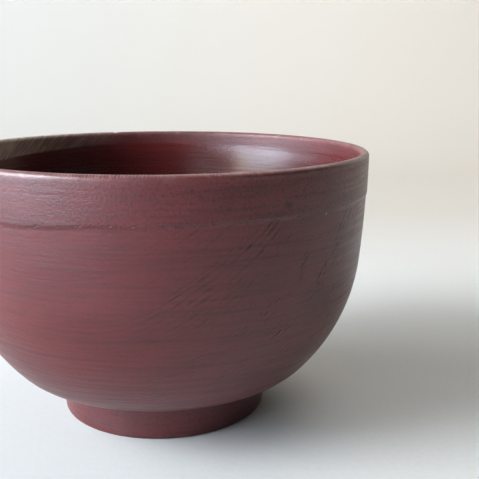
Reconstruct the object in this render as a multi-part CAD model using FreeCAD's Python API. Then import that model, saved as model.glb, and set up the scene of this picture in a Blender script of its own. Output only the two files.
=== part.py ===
"""Lacquered wooden rice bowl, built up in layers the way the real one is.

The bowl and its foot ring are turned from one block of wood.  Strips of hemp
cloth are bonded over the lip and round the foot, where a bowl chips first,
and coats of lacquer then cover the outside, the inside and the foot.

Millimetres, +Z up.  Z is the turning axis and the foot stands on Z = 0.
"""
import FreeCAD, Part

import math
import os

from FreeCAD import Vector

# ---- overall sizes, measured over the lacquer ------------------------------
RIM_DIAMETER = 115.0        # outside of the bowl at the lip
HEIGHT = 74.0               # table to the top of the lip
LIP_THICKNESS = 2.4         # wall at the lip, which is fully rounded on top

# ---- outside of the bowl: arcs that flow together, from the lip down ---------
SIDE_RADIUS = 270.0         # long flat curve of the upper wall
BELLY_TOP = 44.6            # table to where the upper wall goes over into the belly
BELLY_RADIUS = 50.0         # full curve of the belly, which the tighter hip takes over

# ---- inside of the bowl: an upright brim, then a wall that thickens downwards --
INSIDE_LEAN = 3.0           # degrees that the inside leans outwards at the lip
BRIM_RADIUS = 250.0         # nearly flat curve of the brim, as deep as the rim cloth inside
SHOULDER_RADIUS = 24.0      # soft bend between the brim and the wall
SHOULDER_TURN = 4.5         # degrees that the bend turns through
WALL_RADIUS = 250.0         # long flat curve of the wall inside
WELL_TOP = 37.7             # table to where the wall goes over into the well
WELL_RADIUS = 31.0          # curve from the wall down to the floor
FLOOR_THICKNESS = 6.4       # ceiling inside the foot ring to the lowest point inside the bowl

# ---- foot ring --------------------------------------------------------------
FOOT_DIAMETER = 58.0        # outside of the ring at the table
FOOT_HEIGHT = 10.3          # table to the underside of the belly
FOOT_TAPER = 1.5            # degrees that the ring narrows going up
CREASE_RADIUS = 1.2         # hollow curve between the ring and the belly
FOOT_WALL = 4.6             # width of the ring at the table
FOOT_EDGE_RADIUS = 0.9      # rounding of both edges that stand on the table
RECESS_DEPTH = 5.6          # table to the ceiling inside the ring
RECESS_DRAFT = 8.0          # degrees that the inside of the ring closes going up
RECESS_RADIUS = 2.5         # hollow curve between the ring and its ceiling

# ---- layers -----------------------------------------------------------------
COAT = 0.30                 # all the coats of lacquer together
CLOTH = 0.40                # hemp cloth with the paste that fills its weave
RIDGE = 0.20                # step that the rim cloth leaves in the lacquer outside
RIDGE_RUN = 1.2             # height over which that step fades out
RIM_BAND_OUTSIDE = 10.9     # top of the lip to the lower edge of the rim cloth
RIM_BAND_INSIDE = 4.7       # the same on the inside, where the cloth is levelled and leaves no step
FOOT_BAND_OUTSIDE = 6.0     # table to the upper edge of the foot cloth
FOOT_BAND_INSIDE = 3.0      # the same inside the ring

# ---- the section, drawn in a half plane: r from the axis, z up ---------------
def cos(degrees):
    return math.cos(math.radians(degrees))


def sin(degrees):
    return math.sin(math.radians(degrees))


def line(start, end):
    return Part.LineSegment(Vector(start[0], 0, start[1]), Vector(end[0], 0, end[1])).toShape()


class Bend:
    """An arc of the finished surface, which every layer below it follows.

    Angles are in degrees, from +r towards +z.  Grow is +1 where the arc gets
    larger with the depth under the surface, on a hollow curve, and -1 where
    it gets smaller, on a full one.
    """

    def __init__(self, centre, radius, grow, start, end):
        self.centre = centre
        self.radius = radius
        self.grow = grow
        self.start = start
        self.end = end

    @classmethod
    def below(cls, upper, radius, turn):
        """The arc that flows on from the lower end of another, both on the same side."""
        start = upper.point(upper.end)
        centre = (start[0] - radius * cos(upper.end), start[1] - radius * sin(upper.end))
        return cls(centre, radius, upper.grow, upper.end, upper.end - turn)

    def point(self, angle, depth=0.0):
        reach = self.radius + self.grow * depth
        return self.centre[0] + reach * cos(angle), self.centre[1] + reach * sin(angle)

    def angle_at(self, z, depth):
        reach = self.radius + self.grow * depth
        return math.degrees(math.asin((z - self.centre[1]) / reach))

    def point_at(self, z, depth):
        return self.point(self.angle_at(z, depth), depth)

    def edge(self, depth, start=None, end=None):
        first = self.start if start is None else start
        last = self.end if end is None else end
        stops = [self.point(angle, depth) for angle in (first, (first + last) / 2, last)]
        return Part.Arc(*[Vector(r, 0, z) for r, z in stops]).toShape()


# ---- arcs of the foot ring ----------------------------------------------------
ring_outer = FOOT_DIAMETER / 2
ring_inner = ring_outer - FOOT_WALL
# an angle points the way each straight face of the ring looks
OUTER_FACE = FOOT_TAPER
INNER_FACE = 180 + RECESS_DRAFT
outer_edge = Bend((ring_outer - FOOT_EDGE_RADIUS, FOOT_EDGE_RADIUS), FOOT_EDGE_RADIUS, -1, OUTER_FACE, -90.0)
inner_edge = Bend((ring_inner + FOOT_EDGE_RADIUS, FOOT_EDGE_RADIUS), FOOT_EDGE_RADIUS, -1, 270.0, INNER_FACE)


def face_point(edge_bend, face, z, depth):
    """A point of the straight face that runs up, or down, from a rounded edge."""
    touch = edge_bend.point(face, depth)
    return touch[0] - (z - touch[1]) * math.tan(math.radians(face)), z


crease_z = FOOT_HEIGHT - CREASE_RADIUS
crease_r = face_point(outer_edge, OUTER_FACE, crease_z, 0.0)[0] + CREASE_RADIUS / cos(FOOT_TAPER)
crease = Bend((crease_r, crease_z), CREASE_RADIUS, +1, 90.0, 180 + FOOT_TAPER)
cove_z = RECESS_DEPTH - RECESS_RADIUS
cove_r = face_point(inner_edge, INNER_FACE, cove_z, 0.0)[0] - RECESS_RADIUS / cos(RECESS_DRAFT)
cove = Bend((cove_r, cove_z), RECESS_RADIUS, +1, RECESS_DRAFT, 90.0)

# ---- arcs of the bowl ---------------------------------------------------------
LIP_RADIUS = LIP_THICKNESS / 2
lip = Bend((RIM_DIAMETER / 2 - LIP_RADIUS, HEIGHT - LIP_RADIUS), LIP_RADIUS, -1, 0.0, 180 - INSIDE_LEAN)

side_centre = (RIM_DIAMETER / 2 - SIDE_RADIUS, lip.centre[1])
side = Bend(side_centre, SIDE_RADIUS, -1, 0.0, 0.0)
side.end = side.angle_at(BELLY_TOP, 0.0)
belly = Bend.below(side, BELLY_RADIUS, 0.0)
# the hip touches the belly's circle from within, and lies flat where it meets the foot ring
hip_low = (crease_r, FOOT_HEIGHT - RIDGE)
reach_in = hip_low[0] - belly.centre[0]
reach_down = belly.centre[1] - hip_low[1]
hip_radius = (BELLY_RADIUS**2 - reach_in**2 - reach_down**2) / (2 * (BELLY_RADIUS - reach_down))
belly.end = math.degrees(math.atan2(hip_radius - reach_down, reach_in))
hip = Bend((hip_low[0], hip_low[1] + hip_radius), hip_radius, -1, belly.end, -90.0)

brim_top = lip.point(lip.end)
brim_centre = (brim_top[0] - BRIM_RADIUS * cos(INSIDE_LEAN), brim_top[1] + BRIM_RADIUS * sin(INSIDE_LEAN))
brim = Bend(brim_centre, BRIM_RADIUS, +1, -INSIDE_LEAN, 0.0)
brim.end = brim.angle_at(HEIGHT - RIM_BAND_INSIDE, 0.0)
shoulder = Bend.below(brim, SHOULDER_RADIUS, SHOULDER_TURN)
wall = Bend.below(shoulder, WALL_RADIUS, 0.0)
wall.end = wall.angle_at(WELL_TOP, 0.0)
well = Bend.below(wall, WELL_RADIUS, 0.0)
# the floor is the shallow dish that flows on from the well and is level at the axis
floor_z = RECESS_DEPTH + FLOOR_THICKNESS
floor_lift = well.centre[1] - WELL_RADIUS - floor_z
well.end = 2 * math.degrees(math.atan2(floor_lift, well.centre[0])) - 90
floor = Bend.below(well, WELL_RADIUS + well.centre[0] / cos(well.end), 90 + well.end)

rim_edge_z = HEIGHT - RIM_BAND_OUTSIDE


# ---- the lines of a layer, at its depth under the finished surface -------------
def outside_lines(depth, under_cloth=False):
    """From the hip up to the lip: out to the rim cloth, or in to its seat if under it."""
    band_depth = depth + CLOTH if under_cloth else depth
    band_z = rim_edge_z if under_cloth else rim_edge_z + RIDGE_RUN
    return [
        hip.edge(RIDGE + depth),
        belly.edge(RIDGE + depth),
        side.edge(RIDGE + depth, start=side.angle_at(rim_edge_z, RIDGE + depth)),
        line(side.point_at(rim_edge_z, RIDGE + depth), side.point_at(band_z, band_depth)),
        side.edge(band_depth, end=side.angle_at(band_z, band_depth)),
    ]


def brim_edge(depth):
    """The lower edge of the rim cloth inside, from the depth of its face to its seat."""
    return line(brim.point(brim.end, depth), brim.point(brim.end, depth + CLOTH))


def inside_lines(depth, under_cloth=False):
    """From the lip down to the axis."""
    lines = [bend.edge(depth) for bend in (shoulder, wall, well, floor)]
    if under_cloth:
        return [brim.edge(depth + CLOTH), brim_edge(depth)] + lines
    return [brim.edge(depth)] + lines


def ring_tread(depth):
    """The rounded edges of the ring and the flat between them, which the bowl stands on."""
    tread = line(outer_edge.point(outer_edge.end, depth), inner_edge.point(inner_edge.start, depth))
    return [outer_edge.edge(depth), tread, inner_edge.edge(depth)]


def ring_lines(depth):
    """From the hip, round the foot ring, to the cove inside it."""
    outer_face = line(crease.point(crease.end, depth), outer_edge.point(outer_edge.start, depth))
    inner_face = line(inner_edge.point(inner_edge.end, depth), cove.point(cove.start, depth))
    return [crease.edge(depth), outer_face] + ring_tread(depth) + [inner_face]


def recess_lines(depth):
    """From the cove to the axis, across the ceiling of the hollow."""
    return [cove.edge(depth), line(cove.point(cove.end, depth), (0.0, RECESS_DEPTH + depth))]


def turned(lines):
    """The solid of revolution of a closed section."""
    section = Part.Face(Part.Wire(Part.__sortEdges__(lines)))
    return section.revolve(Vector(0, 0, 0), Vector(0, 0, 1), 360)


# ---- the pieces ----------------------------------------------------------------
UNDER_CLOTH = COAT + CLOTH
CLOTH_ENDS = ((outer_edge, OUTER_FACE, FOOT_BAND_OUTSIDE), (inner_edge, INNER_FACE, FOOT_BAND_INSIDE))


def lip_seat():
    """The square top of the wood, which the rim cloth folds over."""
    top_z = HEIGHT - UNDER_CLOTH
    outer_low = side.point(side.start, UNDER_CLOTH)
    inner_low = brim.point(brim.start, UNDER_CLOTH)
    outer_top = (outer_low[0], top_z)
    inner_top = (inner_low[0], top_z)
    return [line(outer_low, outer_top), line(outer_top, inner_top), line(inner_top, inner_low)]


def foot_seat():
    """The square end of the wood under the foot ring, which the foot cloth folds round."""
    lines = []
    corners = []
    for edge_bend, face, band_z in CLOTH_ENDS:
        step = face_point(edge_bend, face, band_z, UNDER_CLOTH)
        corner = face_point(edge_bend, face, UNDER_CLOTH, UNDER_CLOTH)
        lines += [line(face_point(edge_bend, face, band_z, COAT), step), line(step, corner)]
        corners.append(corner)
    lines.append(line(*corners))
    return lines


def wood_core():
    """The turned bowl and foot ring, with shallow seats for the two cloth strips."""
    lines = outside_lines(COAT, under_cloth=True) + lip_seat() + inside_lines(COAT, under_cloth=True)
    lines.append(line((0.0, floor_z - COAT), (0.0, RECESS_DEPTH + COAT)))
    lines += [crease.edge(COAT)] + foot_seat() + recess_lines(COAT)
    outer_end, inner_end = [face_point(*cloth_end, COAT) for cloth_end in CLOTH_ENDS]
    lines.append(line(crease.point(crease.end, COAT), outer_end))
    lines.append(line(cove.point(cove.start, COAT), inner_end))
    return turned(lines)


def rim_cloth():
    """Hemp strip folded over the lip, pared at its outer edge and flush at its inner one."""
    lines = lip_seat() + [lip.edge(COAT), brim.edge(COAT), brim_edge(COAT), brim.edge(UNDER_CLOTH)]
    faded_z = rim_edge_z + RIDGE_RUN
    outer_foot = side.point_at(rim_edge_z, RIDGE + COAT)
    lines.append(line(side.point_at(rim_edge_z, UNDER_CLOTH), outer_foot))
    lines.append(line(outer_foot, side.point_at(faded_z, COAT)))
    lines.append(side.edge(COAT, end=side.angle_at(faded_z, COAT)))
    lines.append(side.edge(UNDER_CLOTH, end=side.angle_at(rim_edge_z, UNDER_CLOTH)))
    return turned(lines)


def foot_cloth():
    """Hemp strip folded under the foot ring, flush with the wood above it."""
    lines = foot_seat() + ring_tread(COAT)
    for edge_bend, face, band_z in CLOTH_ENDS:
        lines.append(line(face_point(edge_bend, face, band_z, COAT), edge_bend.point(face, COAT)))
    return turned(lines)


def lacquer_outside():
    """Coats on the outside, from the hip to the crown of the lip."""
    lines = outside_lines(0.0) + outside_lines(COAT)
    lines += [lip.edge(0.0, end=90.0), lip.edge(COAT, end=90.0)]
    lines.append(line(lip.point(90.0), lip.point(90.0, COAT)))
    lines.append(line(hip.point(hip.end, RIDGE), hip.point(hip.end, RIDGE + COAT)))
    return turned(lines)


def lacquer_inside():
    """Coats on the inside, from the crown of the lip across the floor."""
    lines = inside_lines(0.0) + inside_lines(COAT)
    lines += [lip.edge(0.0, start=90.0), lip.edge(COAT, start=90.0)]
    lines.append(line(lip.point(90.0), lip.point(90.0, COAT)))
    lines.append(line(floor.point(floor.end), floor.point(floor.end, COAT)))
    return turned(lines)


def lacquer_foot():
    """Coats round the foot ring, from the hip to the cove inside it."""
    lines = ring_lines(0.0) + ring_lines(COAT)
    lines.append(line(hip.point(hip.end, RIDGE), hip.point(hip.end, RIDGE + COAT)))
    lines.append(line(cove.point(cove.start), cove.point(cove.start, COAT)))
    return turned(lines)


def lacquer_recess():
    """Coats in the hollow inside the foot ring, brushed last, with the bowl upside down."""
    lines = recess_lines(0.0) + recess_lines(COAT)
    lines.append(line(cove.point(cove.start), cove.point(cove.start, COAT)))
    lines.append(line((0.0, RECESS_DEPTH), (0.0, RECESS_DEPTH + COAT)))
    return turned(lines)


PIECES = (wood_core, rim_cloth, foot_cloth, lacquer_outside, lacquer_inside, lacquer_foot, lacquer_recess)

os.makedirs("parts", exist_ok=True)
for piece in PIECES:
    piece().exportStep("parts/" + piece.__name__ + ".step")
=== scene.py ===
"""The looks of a turned wooden rice bowl under dark red-brown lacquer.

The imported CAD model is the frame.  Its four skins of lacquer are replaced by one
finely meshed surface, cut at the same seams, which carries the hand work: the
wandering step that the rim cloth leaves, the unevenness of turning and brush,
and a chip in the lip.  The wood and the cloth under it stay as the CAD made them.

Metres, +Z up.  Angles of the section are in degrees, from +r towards +z.
"""
import math

import bpy
import numpy as np
from mathutils import Matrix, Vector


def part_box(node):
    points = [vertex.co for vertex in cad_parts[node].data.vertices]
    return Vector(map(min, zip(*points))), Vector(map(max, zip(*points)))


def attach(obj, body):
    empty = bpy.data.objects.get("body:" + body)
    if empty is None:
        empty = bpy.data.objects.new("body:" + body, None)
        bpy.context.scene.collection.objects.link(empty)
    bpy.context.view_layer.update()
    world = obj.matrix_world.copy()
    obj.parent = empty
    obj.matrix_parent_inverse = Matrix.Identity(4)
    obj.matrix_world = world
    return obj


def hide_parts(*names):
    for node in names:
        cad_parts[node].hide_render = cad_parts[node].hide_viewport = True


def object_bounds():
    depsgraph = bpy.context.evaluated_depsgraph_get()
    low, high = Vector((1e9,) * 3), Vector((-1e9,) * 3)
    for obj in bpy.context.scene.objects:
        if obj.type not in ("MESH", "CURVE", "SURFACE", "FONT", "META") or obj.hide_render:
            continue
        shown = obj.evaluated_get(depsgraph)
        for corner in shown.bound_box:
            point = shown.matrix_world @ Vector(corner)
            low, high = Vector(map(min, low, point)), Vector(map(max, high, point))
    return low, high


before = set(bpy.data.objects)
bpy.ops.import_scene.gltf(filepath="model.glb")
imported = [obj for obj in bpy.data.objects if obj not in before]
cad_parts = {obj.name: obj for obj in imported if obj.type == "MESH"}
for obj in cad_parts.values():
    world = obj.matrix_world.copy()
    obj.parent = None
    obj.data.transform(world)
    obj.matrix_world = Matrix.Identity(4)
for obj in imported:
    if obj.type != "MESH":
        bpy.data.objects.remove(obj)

MM = 0.001
cad_low, cad_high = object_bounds()
foot_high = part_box("lacquer_foot")[1]
recess_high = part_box("lacquer_recess")[1]

# ---- the section, as in the CAD ----------------------------------------------
RIM_RADIUS = cad_high.x
HEIGHT = cad_high.z
LIP_RADIUS = 1.2 * MM
COAT = 0.3 * MM
RIDGE = 0.2 * MM
LEDGE_RUN = 1.5 * MM        # height over which the step of the rim cloth falls away
LEDGE_SHARE = 1.2           # the visible step, against the CAD's

SIDE_RADIUS = 270 * MM
BELLY_TOP = 44.6 * MM
BELLY_RADIUS = 50 * MM
RIM_BAND_OUTSIDE = 10.9 * MM

INSIDE_LEAN = 3.0
BRIM_RADIUS = 250 * MM
SHOULDER_RADIUS = 24 * MM
SHOULDER_TURN = 4.5
WALL_RADIUS = 250 * MM
WELL_TOP = 37.7 * MM
WELL_RADIUS = 31 * MM
RIM_BAND_INSIDE = 4.7 * MM

FOOT_RADIUS = 29 * MM
FOOT_HEIGHT = foot_high.z - COAT
FOOT_TAPER = 1.5
CREASE_RADIUS = 1.2 * MM
FOOT_WALL = 4.6 * MM
FOOT_EDGE_RADIUS = 0.9 * MM
RECESS_DEPTH = recess_high.z - COAT
RECESS_DRAFT = 8.0
RECESS_RADIUS = 2.5 * MM
FLOOR_THICKNESS = 6.4 * MM

# ---- the mesh ------------------------------------------------------------------
COLUMNS = 420               # steps round the bowl
SKIN = 0.26 * MM            # thickness of the visible skins, a little less than the coats
BACK_ROWS = 4               # the hidden face of a skin has every fourth row
STEP_ABOVE = 2.0 * MM       # how far the finer rows reach from the step of the rim cloth
STEP_BELOW = 2.6 * MM


def cos(degrees):
    return math.cos(math.radians(degrees))


def sin(degrees):
    return math.sin(math.radians(degrees))


class Arc:
    """An arc of the section.  Hollow is -1 where the surface looks at the centre, else 1."""

    def __init__(self, centre, radius, first, last, hollow=1):
        self.centre = np.array(centre)
        self.radius = radius
        self.first = first
        self.last = last
        self.hollow = hollow

    def point(self, angle):
        return self.centre + self.radius * np.array([cos(angle), sin(angle)])

    def angle_at(self, z):
        return math.degrees(math.asin((z - self.centre[1]) / self.radius))

    def rows(self, step):
        """Points and outward normals along the arc, about a step apart."""
        length = math.radians(abs(self.last - self.first)) * self.radius
        angles = np.radians(np.linspace(self.first, self.last, max(2, math.ceil(length / step)) + 1))
        rays = np.stack([np.cos(angles), np.sin(angles)], 1)
        return self.centre + self.radius * rays, self.hollow * rays


def below(upper, radius, last=None):
    """The arc that flows on from the lower end of another."""
    end = upper.point(upper.last)
    centre = end - radius * np.array([cos(upper.last), sin(upper.last)])
    return Arc(centre, radius, upper.last, upper.last if last is None else last, upper.hollow)


def straight(start, end, look, step):
    """Rows along a straight face that looks in a direction, an angle of the section."""
    count = max(1, math.ceil(np.linalg.norm(np.subtract(end, start)) / step))
    share = np.linspace(0, 1, count + 1)[:, None]
    points = (1 - share) * np.array(start) + share * np.array(end)
    return points, np.tile([cos(look), sin(look)], (count + 1, 1))


def upwards(arc):
    """The same arc, drawn from its other end."""
    return Arc(arc.centre, arc.radius, arc.last, arc.first, arc.hollow)


def face_r(edge, look, z):
    """Radius at height z on the straight face that touches an edge and looks in a direction."""
    touch = edge.point(look)
    return touch[0] - (z - touch[1]) * math.tan(math.radians(look))


def foot_arcs():
    """Crease over the foot ring, its outer and inner edge, and the cove of the hollow in it."""
    inner_face = 180 + RECESS_DRAFT
    outer_edge = Arc((FOOT_RADIUS - FOOT_EDGE_RADIUS, FOOT_EDGE_RADIUS), FOOT_EDGE_RADIUS, FOOT_TAPER, -90)
    ring_inner = FOOT_RADIUS - FOOT_WALL + FOOT_EDGE_RADIUS
    inner_edge = Arc((ring_inner, FOOT_EDGE_RADIUS), FOOT_EDGE_RADIUS, 270, inner_face)
    crease_z = FOOT_HEIGHT - CREASE_RADIUS
    crease_r = face_r(outer_edge, FOOT_TAPER, crease_z) + CREASE_RADIUS / cos(FOOT_TAPER)
    crease = Arc((crease_r, crease_z), CREASE_RADIUS, 90, 180 + FOOT_TAPER, -1)
    cove_z = RECESS_DEPTH - RECESS_RADIUS
    cove_r = face_r(inner_edge, inner_face, cove_z) - RECESS_RADIUS / cos(RECESS_DRAFT)
    cove = Arc((cove_r, cove_z), RECESS_RADIUS, RECESS_DRAFT, 90, -1)
    return crease, outer_edge, inner_edge, cove


def outer_arcs(crease_r):
    """Side, belly and hip, from the lip down to the crease."""
    side = Arc((RIM_RADIUS - SIDE_RADIUS, HEIGHT - LIP_RADIUS), SIDE_RADIUS, 0, 0)
    side.last = side.angle_at(BELLY_TOP)
    belly = below(side, BELLY_RADIUS)
    # the hip touches the belly, and lies level where it meets the crease
    reach_in = crease_r - belly.centre[0]
    reach_down = belly.centre[1] - (FOOT_HEIGHT - RIDGE)
    hip_radius = (BELLY_RADIUS**2 - reach_in**2 - reach_down**2) / (2 * (BELLY_RADIUS - reach_down))
    belly.last = math.degrees(math.atan2(hip_radius - reach_down, reach_in))
    hip = Arc((crease_r, FOOT_HEIGHT - RIDGE + hip_radius), hip_radius, belly.last, -90)
    return side, belly, hip


def inner_arcs(lip_end):
    """Brim, shoulder, wall, well and floor, from the lip's inner end down to the middle."""
    lean = np.array([cos(INSIDE_LEAN), -sin(INSIDE_LEAN)])
    brim = Arc(lip_end - BRIM_RADIUS * lean, BRIM_RADIUS, -INSIDE_LEAN, 0, -1)
    brim.last = brim.angle_at(HEIGHT - RIM_BAND_INSIDE)
    shoulder = below(brim, SHOULDER_RADIUS, brim.last - SHOULDER_TURN)
    wall = below(shoulder, WALL_RADIUS)
    wall.last = wall.angle_at(WELL_TOP)
    well = below(wall, WELL_RADIUS)
    # the floor touches the well, and is level in the middle
    floor_lift = well.centre[1] - WELL_RADIUS - RECESS_DEPTH - FLOOR_THICKNESS
    well.last = 2 * math.degrees(math.atan2(floor_lift, well.centre[0])) - 90
    floor = below(well, WELL_RADIUS + well.centre[0] / cos(well.last), -90)
    return brim, shoulder, wall, well, floor


def split_side(side):
    """The side in three lengths, of which the middle one holds the step under the rim cloth."""
    ends = [side.angle_at(HEIGHT - RIM_BAND_OUTSIDE + reach) for reach in (STEP_ABOVE, -STEP_BELOW)]
    angles = [0, *ends, side.last]
    return [Arc(side.centre, SIDE_RADIUS, first, last) for first, last in zip(angles, angles[1:])]


def skin_runs():
    """The runs of rows of each skin, with the distance between rows.

    They go from the floor's middle, over the lip, to the middle under the foot.
    """
    lip_centre = (RIM_RADIUS - LIP_RADIUS, HEIGHT - LIP_RADIUS)
    lip_inside = Arc(lip_centre, LIP_RADIUS, 180 - INSIDE_LEAN, 90)
    lip_outside = Arc(lip_centre, LIP_RADIUS, 90, 0)
    crease, outer_edge, inner_edge, cove = foot_arcs()
    side, belly, hip = outer_arcs(crease.centre[0])
    side_top, side_step, side_low = split_side(side)
    brim, shoulder, wall, well, floor = inner_arcs(lip_inside.point(lip_inside.first))
    inner_face = inner_edge.last
    return {
        "lacquer_inside": [
            upwards(floor).rows(0.9 * MM), upwards(well).rows(0.8 * MM), upwards(wall).rows(0.6 * MM),
            upwards(shoulder).rows(0.3 * MM), upwards(brim).rows(0.35 * MM), lip_inside.rows(0.16 * MM),
        ],
        "lacquer_outside": [
            lip_outside.rows(0.16 * MM), side_top.rows(0.45 * MM), side_step.rows(0.14 * MM),
            side_low.rows(0.55 * MM), belly.rows(0.55 * MM), hip.rows(0.5 * MM),
        ],
        "lacquer_foot": [
            crease.rows(0.2 * MM),
            straight(crease.point(crease.last), outer_edge.point(FOOT_TAPER), FOOT_TAPER, 0.45 * MM),
            outer_edge.rows(0.2 * MM),
            straight(outer_edge.point(-90), inner_edge.point(270), 270, 0.5 * MM),
            inner_edge.rows(0.2 * MM),
            straight(inner_edge.point(inner_face), cove.point(cove.first), inner_face, 0.5 * MM),
        ],
        "lacquer_recess": [
            cove.rows(0.35 * MM), straight(cove.point(90), (0.0, RECESS_DEPTH), 270, 1.0 * MM),
        ],
    }


def section():
    """Points and outward normals of the finished surface, and the first and last row of each skin."""
    points = []
    normals = []
    spans = {}
    for name, pieces in skin_runs().items():
        first = max(len(points) - 1, 0)
        for piece_points, piece_normals in pieces:
            skip = 1 if points else 0
            points.extend(piece_points[skip:])
            normals.extend(piece_normals[skip:])
        spans[name] = (first, len(points) - 1)
    return np.array(points), np.array(normals), spans


# ---- the hand work ---------------------------------------------------------------
CHIP_AT = math.radians(106)         # chip in the lip, at the back of the bowl
CHIP_WIDTH = 0.55 * MM
CHIP_DEPTH = 0.30 * MM
SPLINTER_AWAY = 1.3 * MM            # a shallower chip beside it
SPLINTER_WIDTH = 0.8 * MM
SAG_AT = math.radians(233)          # where the rim cloth hangs lowest
SAG_WIDTH = math.radians(13)
SAG = 1.1 * MM
UNEVEN = 0.040 * MM                 # what turning and brush leave in the surface


def smooth(x):
    x = np.clip(x, 0, 1)
    return x * x * (3 - 2 * x)


def hump(x, width):
    """A smooth hump of height 1 at x = 0."""
    return np.exp(-((x / width) ** 2))


def turned_from(turn, middle):
    """How far round an angle lies from another, at most half a turn either way."""
    return (turn - middle + math.pi) % (2 * math.pi) - math.pi


def swell(turn, height, waves, rounds, pitch, seed):
    """Smooth unevenness between -1 and 1: waves that close round the bowl.

    Rounds is the most waves round the bowl, pitch the shortest wave along the height.
    """
    rng = np.random.default_rng(seed)
    total = 0
    for _ in range(waves):
        around = rng.integers(-rounds, rounds + 1)
        along = rng.uniform(-1, 1) * 2 * math.pi / pitch
        total = total + np.cos(around * turn + along * height + rng.uniform(0, 2 * math.pi))
    return total / waves * 1.8


def step_height(turn):
    """Height of the lower edge of the rim cloth under the lacquer, which wanders by hand."""
    slow = swell(turn, 0 * turn, 5, 4, 1, 11)
    quick = swell(turn, 0 * turn, 9, 26, 1, 12)
    wander = (0.22 * slow + 0.12 * quick - 0.15) * MM
    return HEIGHT - RIM_BAND_OUTSIDE + wander - SAG * hump(turned_from(turn, SAG_AT), SAG_WIDTH)


def hand_work(points, turns, spans):
    """Depth of each vertex under the true section, and masks for the materials."""
    first, last = spans["lacquer_outside"]
    rows = np.arange(len(points))[:, None]
    inside = rows < first
    outside = (rows >= first) & (rows <= last)
    r, z = points[:, 0][:, None], points[:, 1][:, None]
    length = np.concatenate([[0], np.cumsum(np.linalg.norm(np.diff(points, axis=0), axis=1))])[:, None]
    past_lip = length - length[first]
    turn = turns[None, :]
    every = np.ones_like(turn)

    # the step under the rim cloth
    edge = step_height(turn)
    body = smooth((edge + 0.5 * LEDGE_RUN - z) / LEDGE_RUN) * outside
    depth = RIDGE * body * (LEDGE_SHARE + (1 - LEDGE_SHARE) * smooth((BELLY_TOP - z) / BELLY_TOP * 2))
    # the last row of the outside lies a ridge deep, where the foot's first row is shared
    depth[last] = RIDGE

    # turning and brush, but not at the axis or where the foot stands
    free = smooth((r - 3 * MM) / (5 * MM)) * smooth((z - 1.5 * MM) / (2 * MM))
    slow = swell(turn, length, 14, 9, 38 * MM, 21)
    quick = swell(turn, length, 16, 3, 5 * MM, 22)
    uneven = UNEVEN * (0.75 * (1 + slow) + 0.25 * (1 + quick)) / 2
    depth = depth + np.clip(uneven, 0, 1.5 * UNEVEN) * free

    # the chip
    away = turned_from(turn, CHIP_AT) * RIM_RADIUS
    chip = hump(away, CHIP_WIDTH) + 0.35 * hump(away + SPLINTER_AWAY, SPLINTER_WIDTH)
    depth = depth + CHIP_DEPTH * chip * hump(past_lip, 1.3 * MM)

    cloth_inside = smooth((z - (HEIGHT - RIM_BAND_INSIDE)) / (1 * MM))
    cloth = np.select([inside, outside], [cloth_inside, 1 - body], 1.0)
    # the pale band inside the lip, a painted reflection of the room with fine scratches in it, grows deeper
    # towards the left
    left = smooth((turn % (2 * math.pi) - math.radians(104)) / math.radians(60))
    band = smooth((z - (HEIGHT - (4.4 + 2.2 * left) * MM)) / (0.8 * MM)) * inside
    ends = smooth((turn - math.radians(100)) / math.radians(45))
    ends = ends * smooth((math.radians(225) - turn) / math.radians(45))
    masks = {
        "cloth": cloth,
        "ledge": hump(z - edge - 0.1 * MM, 0.45 * MM) * outside,
        "lip": hump(past_lip, 1.7 * MM) * every,
        "thread": hump(past_lip - 0.6 * MM, 0.40 * MM) * every,
        "tread": smooth((1.3 * MM - z) / (1.1 * MM)) * every,
        # painted shade: the inside darkens from 5 mm below the rim downwards
        "shade_inside": smooth((HEIGHT - 5 * MM - z) / (5 * MM)) * inside * every,
        "scratches_and_reflection": band * ends,
    }
    return depth, masks


def columns():
    """Angles round the bowl, closer together at the chip."""
    even = np.arange(COLUMNS) * 2 * math.pi / COLUMNS
    near = CHIP_AT + np.radians(np.linspace(-2.4, 2.4, 17))
    turns = np.union1d(even, near)
    apart = np.diff(turns, append=turns[0] + 2 * math.pi)
    return turns[apart > math.radians(0.05)]


def lay_out(points, turns):
    """Places of a section swung round the axis; points may differ from column to column."""
    return np.stack([points[..., 0] * np.cos(turns), points[..., 0] * np.sin(turns), points[..., 1]], -1)


def build_skins():
    """One mesh object for each skin of lacquer, named after the coats that it shows."""
    points, normals, spans = section()
    turns = columns()
    depth, masks = hand_work(points, turns, spans)
    surface = lay_out(points[:, None] - normals[:, None] * depth[..., None], turns)
    back = lay_out(points[:, None] - normals[:, None] * (depth[..., None] + SKIN), turns)
    along = np.gradient(surface, axis=0)
    around = np.roll(surface, -1, 1) - np.roll(surface, 1, 1)
    outward = np.cross(around, along)
    lengths = np.linalg.norm(outward, axis=-1, keepdims=True)
    straight_out = lay_out(normals[:, None] + 0 * depth[..., None], turns)
    outward = np.where(lengths > 1e-12, outward / np.maximum(lengths, 1e-12), straight_out)
    outward = outward * np.sign((outward * straight_out).sum(-1, keepdims=True))
    skins = {}
    for name, (first, last) in spans.items():
        front_rows = list(range(first, last + 1))
        back_rows = sorted({first, last, *range(first, last, BACK_ROWS)}, reverse=True)
        skins[name] = closed_skin(name, surface, back, outward, masks, front_rows, back_rows)
    return skins


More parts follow.
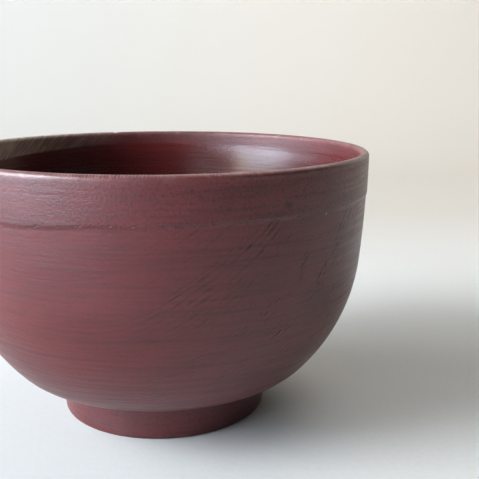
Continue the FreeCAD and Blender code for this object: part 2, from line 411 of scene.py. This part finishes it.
def closed_skin(name, surface, back, outward, masks, front_rows, back_rows):
    """A closed mesh: the visible face, and the hidden face that it returns along."""
    count = surface.shape[1]
    rings = [surface[i] for i in front_rows] + [back[i] for i in back_rows]
    looks = [outward[i] for i in front_rows] + [-outward[i] for i in back_rows]
    sources = front_rows + back_rows
    verts = []
    vert_looks = []
    masks_out = {key: [] for key in masks}
    index = []
    for ring, look, source in zip(rings, looks, sources):
        pole = np.ptp(ring[:, 0]) < 1e-7
        start = len(verts)
        index.append(np.full(count, start) if pole else start + np.arange(count))
        verts.extend(ring[:1] if pole else ring)
        vert_looks.extend(look[:1] if pole else look)
        for key, mask in masks.items():
            masks_out[key].extend(mask[source][:1] if pole else mask[source])
    faces = []
    total = len(rings)
    for row in range(total):
        upper, lower = index[row], index[(row + 1) % total]
        for column in range(count):
            beside = (column + 1) % count
            corners = [upper[column], lower[column], lower[beside], upper[beside]]
            unique = list(dict.fromkeys(int(c) for c in corners))
            if len(unique) > 2:
                faces.append(unique)
    mesh = bpy.data.meshes.new(name + "_skin")
    mesh.from_pydata([tuple(v) for v in verts], [], faces)
    mesh.shade_smooth()
    for key, values in masks_out.items():
        layer = mesh.attributes.new(key, "FLOAT", "POINT")
        layer.data.foreach_set("value", np.array(values, np.float32))
    mesh.normals_split_custom_set_from_vertices([tuple(v) for v in vert_looks])
    mesh.update()
    return bpy.data.objects.new(name + "_skin", mesh)


# ---- materials ----------------------------------------------------------------
def srgb(red, green, blue):
    """A colour given in display values, as Blender's linear one."""
    values = [c / 255 for c in (red, green, blue)]
    return [c / 12.92 if c <= 0.04045 else ((c + 0.055) / 1.055) ** 2.4 for c in values] + [1.0]


class Nodes:
    """A node tree under construction.  Sockets are linked, plain values are set."""

    def __init__(self, tree):
        self.tree = tree
        self.tree.nodes.clear()

    def node(self, kind, inputs, **settings):
        made = self.tree.nodes.new("ShaderNode" + kind)
        for key, value in settings.items():
            setattr(made, key, value)
        for key, value in inputs.items():
            if isinstance(value, bpy.types.NodeSocket):
                self.tree.links.new(value, made.inputs[key])
            else:
                made.inputs[key].default_value = value
        return made

    def math(self, operation, *values):
        return self.node("Math", dict(enumerate(values)), operation=operation).outputs[0]

    def plus(self, a, b):
        return self.math("ADD", a, b)

    def minus(self, a, b):
        return self.math("SUBTRACT", a, b)

    def times(self, a, b):
        return self.math("MULTIPLY", a, b)

    def total(self, start, *parts):
        """The start and each part times its share, added up."""
        for part, share in parts:
            start = self.plus(start, self.times(part, share))
        return start

    def vector(self, operation, *values):
        return self.node("VectorMath", dict(enumerate(values)), operation=operation).outputs["Vector"]

    def measure(self, operation, *values):
        """A vector operation that gives a number, such as a length or a dot product."""
        return self.node("VectorMath", dict(enumerate(values)), operation=operation).outputs["Value"]

    def split(self, vector):
        return self.node("SeparateXYZ", {0: vector}).outputs

    def join(self, x, y, z=0.0):
        return self.node("CombineXYZ", {"X": x, "Y": y, "Z": z}).outputs[0]

    def remap(self, value, low, high, to_low=0.0, to_high=1.0):
        inputs = {"Value": value, "From Min": low, "From Max": high, "To Min": to_low, "To Max": to_high}
        return self.node("MapRange", inputs, interpolation_type="SMOOTHSTEP").outputs["Result"]


class Shader(Nodes):
    """A material under construction."""

    def __init__(self, name):
        self.material = bpy.data.materials.new(name)
        self.material.use_nodes = True
        super().__init__(self.material.node_tree)

    def noise(self, at, scale, detail, rough):
        inputs = {"Vector": at, "Scale": scale, "Detail": detail, "Roughness": rough}
        return self.node("TexNoise", inputs, noise_dimensions="3D").outputs["Fac"]

    def noise_along(self, distance, scale, detail, rough):
        inputs = {"W": distance, "Scale": scale, "Detail": detail, "Roughness": rough}
        return self.node("TexNoise", inputs, noise_dimensions="1D").outputs["Fac"]

    def mask(self, name):
        return self.node("Attribute", {}, attribute_name=name).outputs["Fac"]

    def mix(self, factor, a, b):
        # inputs 6 and 7 are the colours of a mix, and output 2 is the mixed one
        return self.node("Mix", {0: factor, 6: a, 7: b}, data_type="RGBA").outputs[2]

    def place(self):
        """The place on the object, in millimetres."""
        spot = self.node("TexCoord", {}).outputs["Object"]
        return self.vector("MULTIPLY", spot, (1 / MM, 1 / MM, 1 / MM))

    def finish(self, colour, roughness, height, **constants):
        """Height is in millimetres of relief."""
        bump = self.node("Bump", {"Height": height, "Strength": 1.0, "Distance": MM})
        inputs = {"Base Color": colour, "Roughness": roughness, "Normal": bump.outputs[0]}
        for key, value in constants.items():
            inputs[key.replace("_", " ").title().replace("Ior", "IOR")] = value
        shader = self.node("BsdfPrincipled", inputs)
        self.node("OutputMaterial", {"Surface": shader.outputs[0]})
        return self.material


# The log that the bowl was turned from lay level, with its heart up and to the front left.
RING_LOOK = np.array([cos(38) * cos(-115), cos(38) * sin(-115), sin(38)])
FIBRE = np.array([cos(155), sin(155), 0.0])
HEART = 280.0 * RING_LOOK           # millimetres
YEAR = 1.0                          # millimetres from ring to ring, before the years differ
PORE_CELLS = (0.12, 1.6, 0.42)      # per millimetre: along the fibre, from ring to ring, and across
# rings that show clearly: distance from the heart, spread, and strength
CLEAR_YEARS = ((208.6, 0.9, 0.3), (213.5, 2.2, 1.0), (216.6, 1.0, 0.8), (219.6, 1.0, 0.6),
               (227.5, 2.8, 0.8), (235.5, 3.2, 1.0))


def ring_distance(shader, place):
    """Distance from the log's heart, in millimetres, slightly wavy as real rings are."""
    from_heart = shader.vector("SUBTRACT", place, tuple(HEART))
    along = shader.measure("DOT_PRODUCT", from_heart, tuple(FIBRE))
    whole = shader.measure("DOT_PRODUCT", from_heart, from_heart)
    distance = shader.math("SQRT", shader.minus(whole, shader.times(along, along)))
    slow = shader.minus(shader.noise(place, 0.03, 1.0, 0.5), 0.5)
    quick = shader.noise(place, 0.25, 2.0, 0.5)
    return shader.total(distance, (slow, 3.0), (quick, 0.35))


def wood_grain(shader, place):
    """Fine ring lines, and open pores in rows along them, both from 0 to 1."""
    distance = ring_distance(shader, place)
    # rings come closer and farther apart over the years
    years = shader.times(shader.noise_along(distance, 0.10, 1.0, 0.5), 24.0)
    swing = shader.math("SINE", shader.total(years, (distance, 2 * math.pi / YEAR)))
    clear = shader.remap(shader.noise_along(distance, 0.16, 2.0, 0.6), 0.46, 0.66, 0.10, 0.7)
    for year, spread, strength in CLEAR_YEARS:
        near = shader.math("ABSOLUTE", shader.minus(distance, year))
        clear = shader.math("MAXIMUM", clear, shader.remap(near, 0.4 * spread, spread, strength, 0.0))
    patch = shader.remap(shader.noise(place, 0.09, 2.0, 0.5), 0.36, 0.60, 0.35, 1.0)
    clear = shader.times(clear, patch)
    lines = shader.times(shader.remap(swing, 0.45, 0.98), clear)
    # pores are long along the fibre and narrow across it
    fibre_run = shader.measure("DOT_PRODUCT", place, tuple(FIBRE))
    across_run = shader.measure("DOT_PRODUCT", place, tuple(np.cross(RING_LOOK, FIBRE)))
    stretched = shader.vector("MULTIPLY", shader.join(fibre_run, distance, across_run), PORE_CELLS)
    cells = shader.remap(shader.noise(stretched, 1.0, 1.0, 0.5), 0.50, 0.62)
    pores = shader.times(shader.times(cells, shader.remap(swing, -0.1, 0.7)), clear)
    return lines, pores


def brush_lines(shader, place):
    """Level strokes of the lathe and the lacquer brush, round 0.5."""
    fine = shader.noise(shader.vector("MULTIPLY", place, (0.05, 0.05, 1.25)), 1.0, 2.0, 0.6)
    broad = shader.noise(shader.vector("MULTIPLY", place, (0.016, 0.016, 0.22)), 1.0, 1.0, 0.5)
    return shader.total(0.0, (fine, 0.8), (broad, 0.2))


WORN_TREAD = srgb(140, 66, 52)
# the paler lip is partly wear and partly a painted highlight on the crown
PALE_LIP_AND_HIGHLIGHT = srgb(158, 126, 122)
SPECK = srgb(170, 140, 130)
# the pale band inside the lip is a painted reflection of the room, with scratches
SCRATCHES_AND_REFLECTION = srgb(190, 176, 160)
RIM_THREADS = 470                   # threads of the rim cloth round the bowl
# small marks on the outside: turn, height and size in degrees and millimetres
LIGHT_SPECKS = ((-99.0, 55.3, 0.35), (-77.5, 41.0, 0.40), (-48.0, 62.5, 0.30),
                (35.0, 50.0, 0.40), (140.0, 36.0, 0.40), (-160.0, 58.0, 0.35))
DARK_KNOTS = ((-60.8, 66.0, 1.0), (70.0, 67.5, 0.7), (170.0, 64.5, 0.8))
WALL_OUT = RIM_RADIUS / MM - 0.3    # about how far out the wall is, in millimetres
BELLY_OUT = 55.8                    # the same below the top of the belly
MARK_SQUEEZE = 1.3                  # a mark is this many times as wide as it is high


def spots(shader, place, marks):
    """Small marks near the given places of the wall, from 0 to 1."""
    squeezed = shader.vector("MULTIPLY", place, (1, 1, MARK_SQUEEZE))
    most = 0.0
    for turn, height, size in marks:
        out = WALL_OUT if height > BELLY_TOP / MM else BELLY_OUT
        away = shader.measure("DISTANCE", squeezed, (out * cos(turn), out * sin(turn), MARK_SQUEEZE * height))
        most = shader.math("MAXIMUM", most, shader.remap(away, 0.5 * size, 1.6 * size, 1.0, 0.0))
    return most


def rim_threads(shader, turn, place):
    """Threads of the rim cloth, felt through the thin coat at the lip."""
    around = shader.remap(shader.math("SINE", shader.times(turn, RIM_THREADS)), -0.2, 0.9)
    patchy = shader.remap(shader.noise(place, 0.12, 1.0, 0.5), 0.36, 0.50, 0.25, 1.0)
    return shader.times(shader.times(around, patchy), shader.mask("thread"))


def scratches_and_painted_reflection(shader, turn, z):
    """The pale band inside the lip: a painted reflection of the room, with fine scratches in it."""
    arc = shader.times(turn, 40.0)
    rise = shader.times(z, 0.9)
    slant = shader.join(shader.plus(arc, rise), shader.times(shader.minus(arc, rise), 0.12))
    scratch = shader.noise(slant, 1.0, 2.0, 0.6)
    return shader.times(shader.mask("scratches_and_reflection"), shader.remap(scratch, 0.35, 0.68, 0.4, 1.0))


def showing_grain(shader, place, grain):
    """Ring lines and pores of the wood, where no cloth lies between it and the lacquer."""
    lines, pores = wood_grain(shader, place)
    bare = shader.times(shader.minus(1.0, shader.mask("cloth")), grain)
    # the pores stay open where the fibres end at the surface
    normal = shader.node("NewGeometry", {}).outputs["Normal"]
    ends = shader.math("ABSOLUTE", shader.measure("DOT_PRODUCT", normal, tuple(FIBRE)))
    pores = shader.times(shader.times(pores, bare), shader.remap(ends, 0.10, 0.70, 0.12, 1.0))
    return shader.times(lines, bare), pores


def wear_and_lip_highlight(shader, place):
    """Where use has rubbed the tread of the foot ring, and the pale lip, which is partly wear and partly a
    painted highlight.
    """
    rubbed = shader.remap(shader.noise(place, 0.5, 3.0, 0.6), 0.45, 0.75)
    tread = shader.times(shader.mask("tread"), rubbed)
    lip = shader.times(shader.mask("lip"), shader.total(0.4, (rubbed, 0.6)))
    return tread, lip


def lacquer(name, colour, roughness, gloss, polish=0.0, grain=0.0, haze=0.0, shift=0.0):
    """Brushed lacquer.

    Polish is a thin clear coat on it.  Grain is how much of the wood under it shows, from 0 to 1.
    Haze dulls the rim band.  Shift moves the patterns, in millimetres, so that no two lacquers match.
    """
    shader = Shader(name)
    place = shader.place()
    shifted = shader.vector("ADD", place, (shift, 0, 0))
    x, y, z = shader.split(place)
    turn = shader.math("ARCTAN2", y, x)

    lines, pores = showing_grain(shader, place, grain)
    brush = brush_lines(shader, shifted)
    cloudy = shader.noise(shader.vector("MULTIPLY", shifted, (0.03, 0.03, 0.07)), 1.0, 3.0, 0.55)
    skin = shader.minus(shader.noise(shifted, 1.5, 3.0, 0.7), 0.5)
    skin = shader.times(skin, shader.total(0.6, (shader.mask("cloth"), 0.7)))
    pits = shader.times(shader.mask("ledge"), shader.remap(shader.noise(shifted, 0.9, 2.0, 0.6), 0.54, 0.62))
    thread = rim_threads(shader, turn, shifted)
    tread, lip = wear_and_lip_highlight(shader, shifted)
    knots = shader.times(spots(shader, place, DARK_KNOTS), grain)
    specks = spots(shader, place, LIGHT_SPECKS)
    scratches_and_reflection = scratches_and_painted_reflection(shader, turn, z)

    light, dark, sunk = ([c * share for c in colour[:3]] + [1.0] for share in (1.15, 0.85, 0.30))
    tint = shader.mix(shader.remap(cloudy, 0.3, 0.7), dark, light)
    layers = (
        (shader.remap(brush, 0.42, 0.74, 0.0, 0.5), sunk),
        (shader.remap(skin, -0.02, 0.20, 0.0, 0.7), sunk),
        # painted shade deeper inside the bowl
        (shader.times(shader.mask("shade_inside"), 0.35), sunk),
        (shader.times(lines, 0.45), sunk),
        (shader.times(pores, 0.90), sunk),
        (shader.times(pits, 0.7), sunk),
        (shader.times(thread, 0.5), sunk),
        (shader.times(tread, 0.35), WORN_TREAD),
        # paler lip: wear, and a painted highlight
        (shader.times(lip, 0.42), PALE_LIP_AND_HIGHLIGHT),
        (shader.times(knots, 0.8), sunk),
        (shader.times(specks, 0.6), SPECK),
        # painted reflection of the room in the band inside the lip, with scratches
        (shader.times(scratches_and_reflection, 0.8), SCRATCHES_AND_REFLECTION),
    )
    for share, layer in layers:
        tint = shader.mix(share, tint, layer)

    sheen = shader.total(
        roughness, (shader.minus(cloudy, 0.5), 0.16), (shader.minus(brush, 0.5), 0.35), (skin, 0.25),
        (pores, 0.25), (scratches_and_reflection, 0.12), (shader.mask("cloth"), haze), (shader.mask("tread"), -0.10))
    height = shader.total(
        0.0, (brush, 0.055), (lines, -0.014), (pores, -0.08), (pits, -0.08), (thread, -0.12), (skin, 0.06))
    return shader.finish(
        tint, sheen, height, specular_ior_level=gloss, coat_weight=polish, coat_roughness=0.09)


def turned_wood():
    """The bare wood, which the lacquer hides."""
    shader = Shader("turned_wood")
    lines, pores = wood_grain(shader, shader.place())
    tint = shader.mix(lines, srgb(190, 148, 105), srgb(150, 104, 66))
    tint = shader.mix(pores, tint, srgb(92, 60, 38))
    rough = shader.total(0.6, (pores, 0.2))
    return shader.finish(tint, rough, shader.times(pores, -0.05))


WEAVE_WAVES = 240                   # round the bowl, with two threads to a wave
WEAVE_PITCH = 1.5                   # millimetres up the bowl, again for two threads


def hemp_cloth():
    """A plain weave that goes round the bowl, filled with paste."""
    shader = Shader("hemp_cloth")
    place = shader.place()
    x, y, z = shader.split(place)
    warp = shader.math("SINE", shader.times(shader.math("ARCTAN2", y, x), WEAVE_WAVES))
    weft = shader.math("SINE", shader.times(z, 2 * math.pi / WEAVE_PITCH))
    weave = shader.times(warp, weft)
    slub = shader.noise(place, 0.6, 3.0, 0.6)
    tint = shader.mix(shader.remap(weave, -1.0, 1.0), srgb(120, 98, 66), srgb(178, 156, 116))
    tint = shader.mix(shader.times(slub, 0.5), tint, srgb(96, 74, 50))
    rough = shader.total(0.75, (slub, 0.2))
    return shader.finish(tint, rough, shader.times(weave, 0.05))


def dress():
    """Puts the skins in place of the CAD's, and gives every piece its material."""
    outer = lacquer("outer_lacquer", srgb(84, 27, 29), 0.40, 0.5, polish=0.06, grain=1.0)
    inner = lacquer("inner_lacquer", srgb(80, 28, 28), 0.26, 0.38, grain=0.15, haze=0.22, shift=40.0)
    foot = lacquer("foot_lacquer", srgb(78, 25, 27), 0.38, 0.5, shift=80.0)
    looks = {
        "lacquer_outside": ("outer_lacquer", outer), "lacquer_inside": ("inner_lacquer", inner),
        "lacquer_foot": ("foot_lacquer", foot), "lacquer_recess": ("foot_lacquer", foot),
    }
    for name, skin in build_skins().items():
        slot, material = looks[name]
        bpy.context.scene.collection.objects.link(skin)
        skin.data.materials.append(material)
        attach(skin, "root")
        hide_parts(name)
    hidden = {"wood_core": turned_wood(), "rim_cloth": hemp_cloth(), "foot_cloth": hemp_cloth()}
    for name, material in hidden.items():
        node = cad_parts[name]
        node.data.materials.clear()
        node.data.materials.append(material)


# ---- the stage ---------------------------------------------------------------------
FLOOR_REACH = 8.0
WINDOW_AWAY = 1.0           # left of the bowl; the sheet ends below the window
SWEEP_START = 0.45          # where the floor begins to turn up, behind the bowl
SWEEP_RADIUS = 0.35
SWEEP_TOP = 1.5


def pale_sheet():
    """Plain and pale, with painted shade: browner behind and at the front right, greyer near the window."""
    shader = Shader("pale_floor")
    place = shader.place()
    x, y, z = shader.split(place)
    cloth = shader.noise(place, 0.6, 3.0, 0.6)
    tint = shader.mix(cloth, srgb(190, 190, 188), srgb(200, 200, 198))
    # painted shade: browner behind the bowl and at the front right
    behind = shader.remap(y, 40.0, 320.0, 0.0, 0.7)
    front_right = shader.measure("DOT_PRODUCT", place, (cos(-50), sin(-50), 0))
    front_right = shader.remap(front_right, 150.0, 450.0, 0.0, 0.3)
    tint = shader.mix(shader.math("MAXIMUM", behind, front_right), tint, srgb(166, 158, 147))
    # painted shade: greyer on the left, near the window, where its light is strongest
    tint = shader.mix(shader.remap(x, 300.0, -250.0, 0.0, 0.5), tint, srgb(146, 149, 149))
    # far off, where it lies flat, the sheet glows softly and meets the pale room
    away = shader.measure("LENGTH", shader.vector("MULTIPLY", place, (1, 1, 0)))
    glow = shader.times(shader.remap(away, 800.0, 2400.0, 0.0, 0.80), shader.remap(z, 130.0, 30.0))
    return shader.finish(
        tint, 0.8, shader.times(cloth, 0.05),
        specular_ior_level=0.2, emission_color=(1, 1, 0.99, 1), emission_strength=glow)


def floor_and_backdrop():
    """A sheet that lies flat round the bowl and turns up behind it."""
    profile = [(-FLOOR_REACH, 0.0), (0.0, 0.0), (SWEEP_START, 0.0)]
    for angle in np.linspace(0, 90, 19)[1:]:
        profile.append((SWEEP_START + SWEEP_RADIUS * sin(angle), SWEEP_RADIUS * (1 - cos(angle))))
    profile.append((SWEEP_START + SWEEP_RADIUS, SWEEP_TOP))
    verts = [(x, y, z) for y, z in profile for x in (-WINDOW_AWAY, FLOOR_REACH)]
    faces = [(2 * i, 2 * i + 1, 2 * i + 3, 2 * i + 2) for i in range(len(profile) - 1)]
    mesh = bpy.data.meshes.new("floor")
    mesh.from_pydata(verts, [], faces)
    mesh.shade_smooth()
    mesh.materials.append(pale_sheet())
    stage = bpy.data.objects.new("floor", mesh)
    bpy.context.scene.collection.objects.link(stage)


# ---- the light ---------------------------------------------------------------------
def soft_light(name, place, target, width, height, brightness, colour):
    """A soft box that faces a target.  Brightness is that of its surface."""
    lamp = bpy.data.lights.new(name, "AREA")
    lamp.shape = "RECTANGLE"
    lamp.size = width
    lamp.size_y = height
    lamp.color = colour
    lamp.energy = brightness * math.pi * width * height
    box = bpy.data.objects.new(name, lamp)
    box.location = place
    box.rotation_euler = (Vector(place) - Vector(target)).to_track_quat("Z", "Y").to_euler()
    box.visible_camera = False
    bpy.context.scene.collection.objects.link(box)
    return lamp


def fade(lamp, *ramps):
    """Dims a soft box along the room's axes.

    A ramp is an axis, the place on it where the lamp is full, the place where it is
    dimmest, and what share is left there.
    """
    lamp.use_nodes = True
    nodes = Nodes(lamp.node_tree)
    spot = nodes.split(nodes.node("NewGeometry", {}).outputs["Position"])
    strength = 1.0
    for axis, full, dimmest, share in ramps:
        strength = nodes.times(strength, nodes.remap(spot[axis], full, dimmest, 1.0, share))
    glow = nodes.node("Emission", {"Strength": strength})
    nodes.node("OutputLight", {"Surface": glow.outputs[0]})


def room_light():
    """Dim light from everywhere, seen as pale only by the camera."""
    world = bpy.data.worlds.new("room")
    bpy.context.scene.world = world
    world.use_nodes = True
    nodes = Nodes(world.node_tree)
    room = nodes.node("Background", {"Color": (1.0, 0.95, 0.88, 1.0), "Strength": 0.02})
    pale = nodes.node("Background", {"Color": (0.8, 0.8, 0.79, 1.0), "Strength": 1.0})
    seen = nodes.node("LightPath", {}).outputs["Is Camera Ray"]
    mixed = nodes.node("MixShader", {0: seen, 1: room.outputs[0], 2: pale.outputs[0]})
    nodes.node("OutputWorld", {"Surface": mixed.outputs[0]})


def lamps():
    """A wide window on the left with its bright sill, and weak light from the rest of the room."""
    aside = -WINDOW_AWAY
    window = soft_light(
        "window", (aside, -1.05, 0.60), (0, -1.05, 0.60), 3.2, 0.8, 35.0, (0.94, 0.99, 1.05))
    fade(window, ("Y", -0.45, -0.80, 0.06), ("Y", -0.22, 0.12, 0.28), ("Z", 0.55, 0.22, 0.18))
    sill = soft_light(
        "sill", (aside, -1.05, 0.11), (0, -1.05, 0.11), 3.4, 0.18, 52.0, (0.80, 0.98, 1.20))
    fade(sill, ("Y", -0.70, -1.60, 0.32), ("Y", -0.15, 0.20, 0.3), ("Z", 0.15, 0.10, 0.0))
    soft_light("lamp", (-0.98, -0.69, 0.25), (0, -0.69, 0.25), 0.16, 0.08, 18.0, (1.3, 0.95, 0.60))
    soft_light("ceiling", (0.4, 0.4, 0.9), (0, 0, 0), 0.7, 0.7, 2.8, (1.0, 0.95, 0.88))
    soft_light("far_wall", (0.75, 0.60, 0.22), (0.05, 0.05, 0.04), 0.9, 0.42, 0.55, (1.05, 0.95, 0.82))
    soft_light("backdrop_light", (0, 0.12, 0.8), (0, 1.0, 0.8), 3.0, 0.8, 1.0, (1.0, 0.96, 0.90))


# ---- the camera --------------------------------------------------------------------
CAMERA_BACK = 215.57 * MM   # from the bowl's axis
CAMERA_HEIGHT = 95.71 * MM
CAMERA_TURN = 5.873         # degrees to the right of the bowl's axis
CAMERA_DIP = 12.626         # degrees down
CAMERA_ROLL = 0.134         # degrees, clockwise
LENS = 57.6                 # millimetres, on a 36 mm sensor


def camera():
    made = bpy.data.cameras.new("camera")
    made.lens = LENS
    made.sensor_width = 36.0
    made.clip_start = 0.01
    holder = bpy.data.objects.new("camera", made)
    turned = Matrix.Rotation(math.radians(-CAMERA_TURN), 4, "Z")
    dipped = Matrix.Rotation(math.radians(90 - CAMERA_DIP), 4, "X")
    rolled = Matrix.Rotation(math.radians(CAMERA_ROLL), 4, "Z")
    holder.matrix_world = Matrix.Translation((0, -CAMERA_BACK, CAMERA_HEIGHT)) @ turned @ dipped @ rolled
    bpy.context.scene.collection.objects.link(holder)
    bpy.context.scene.camera = holder


dress()
floor_and_backdrop()
room_light()
lamps()
camera()
bpy.context.scene.view_settings.view_transform = "Standard"
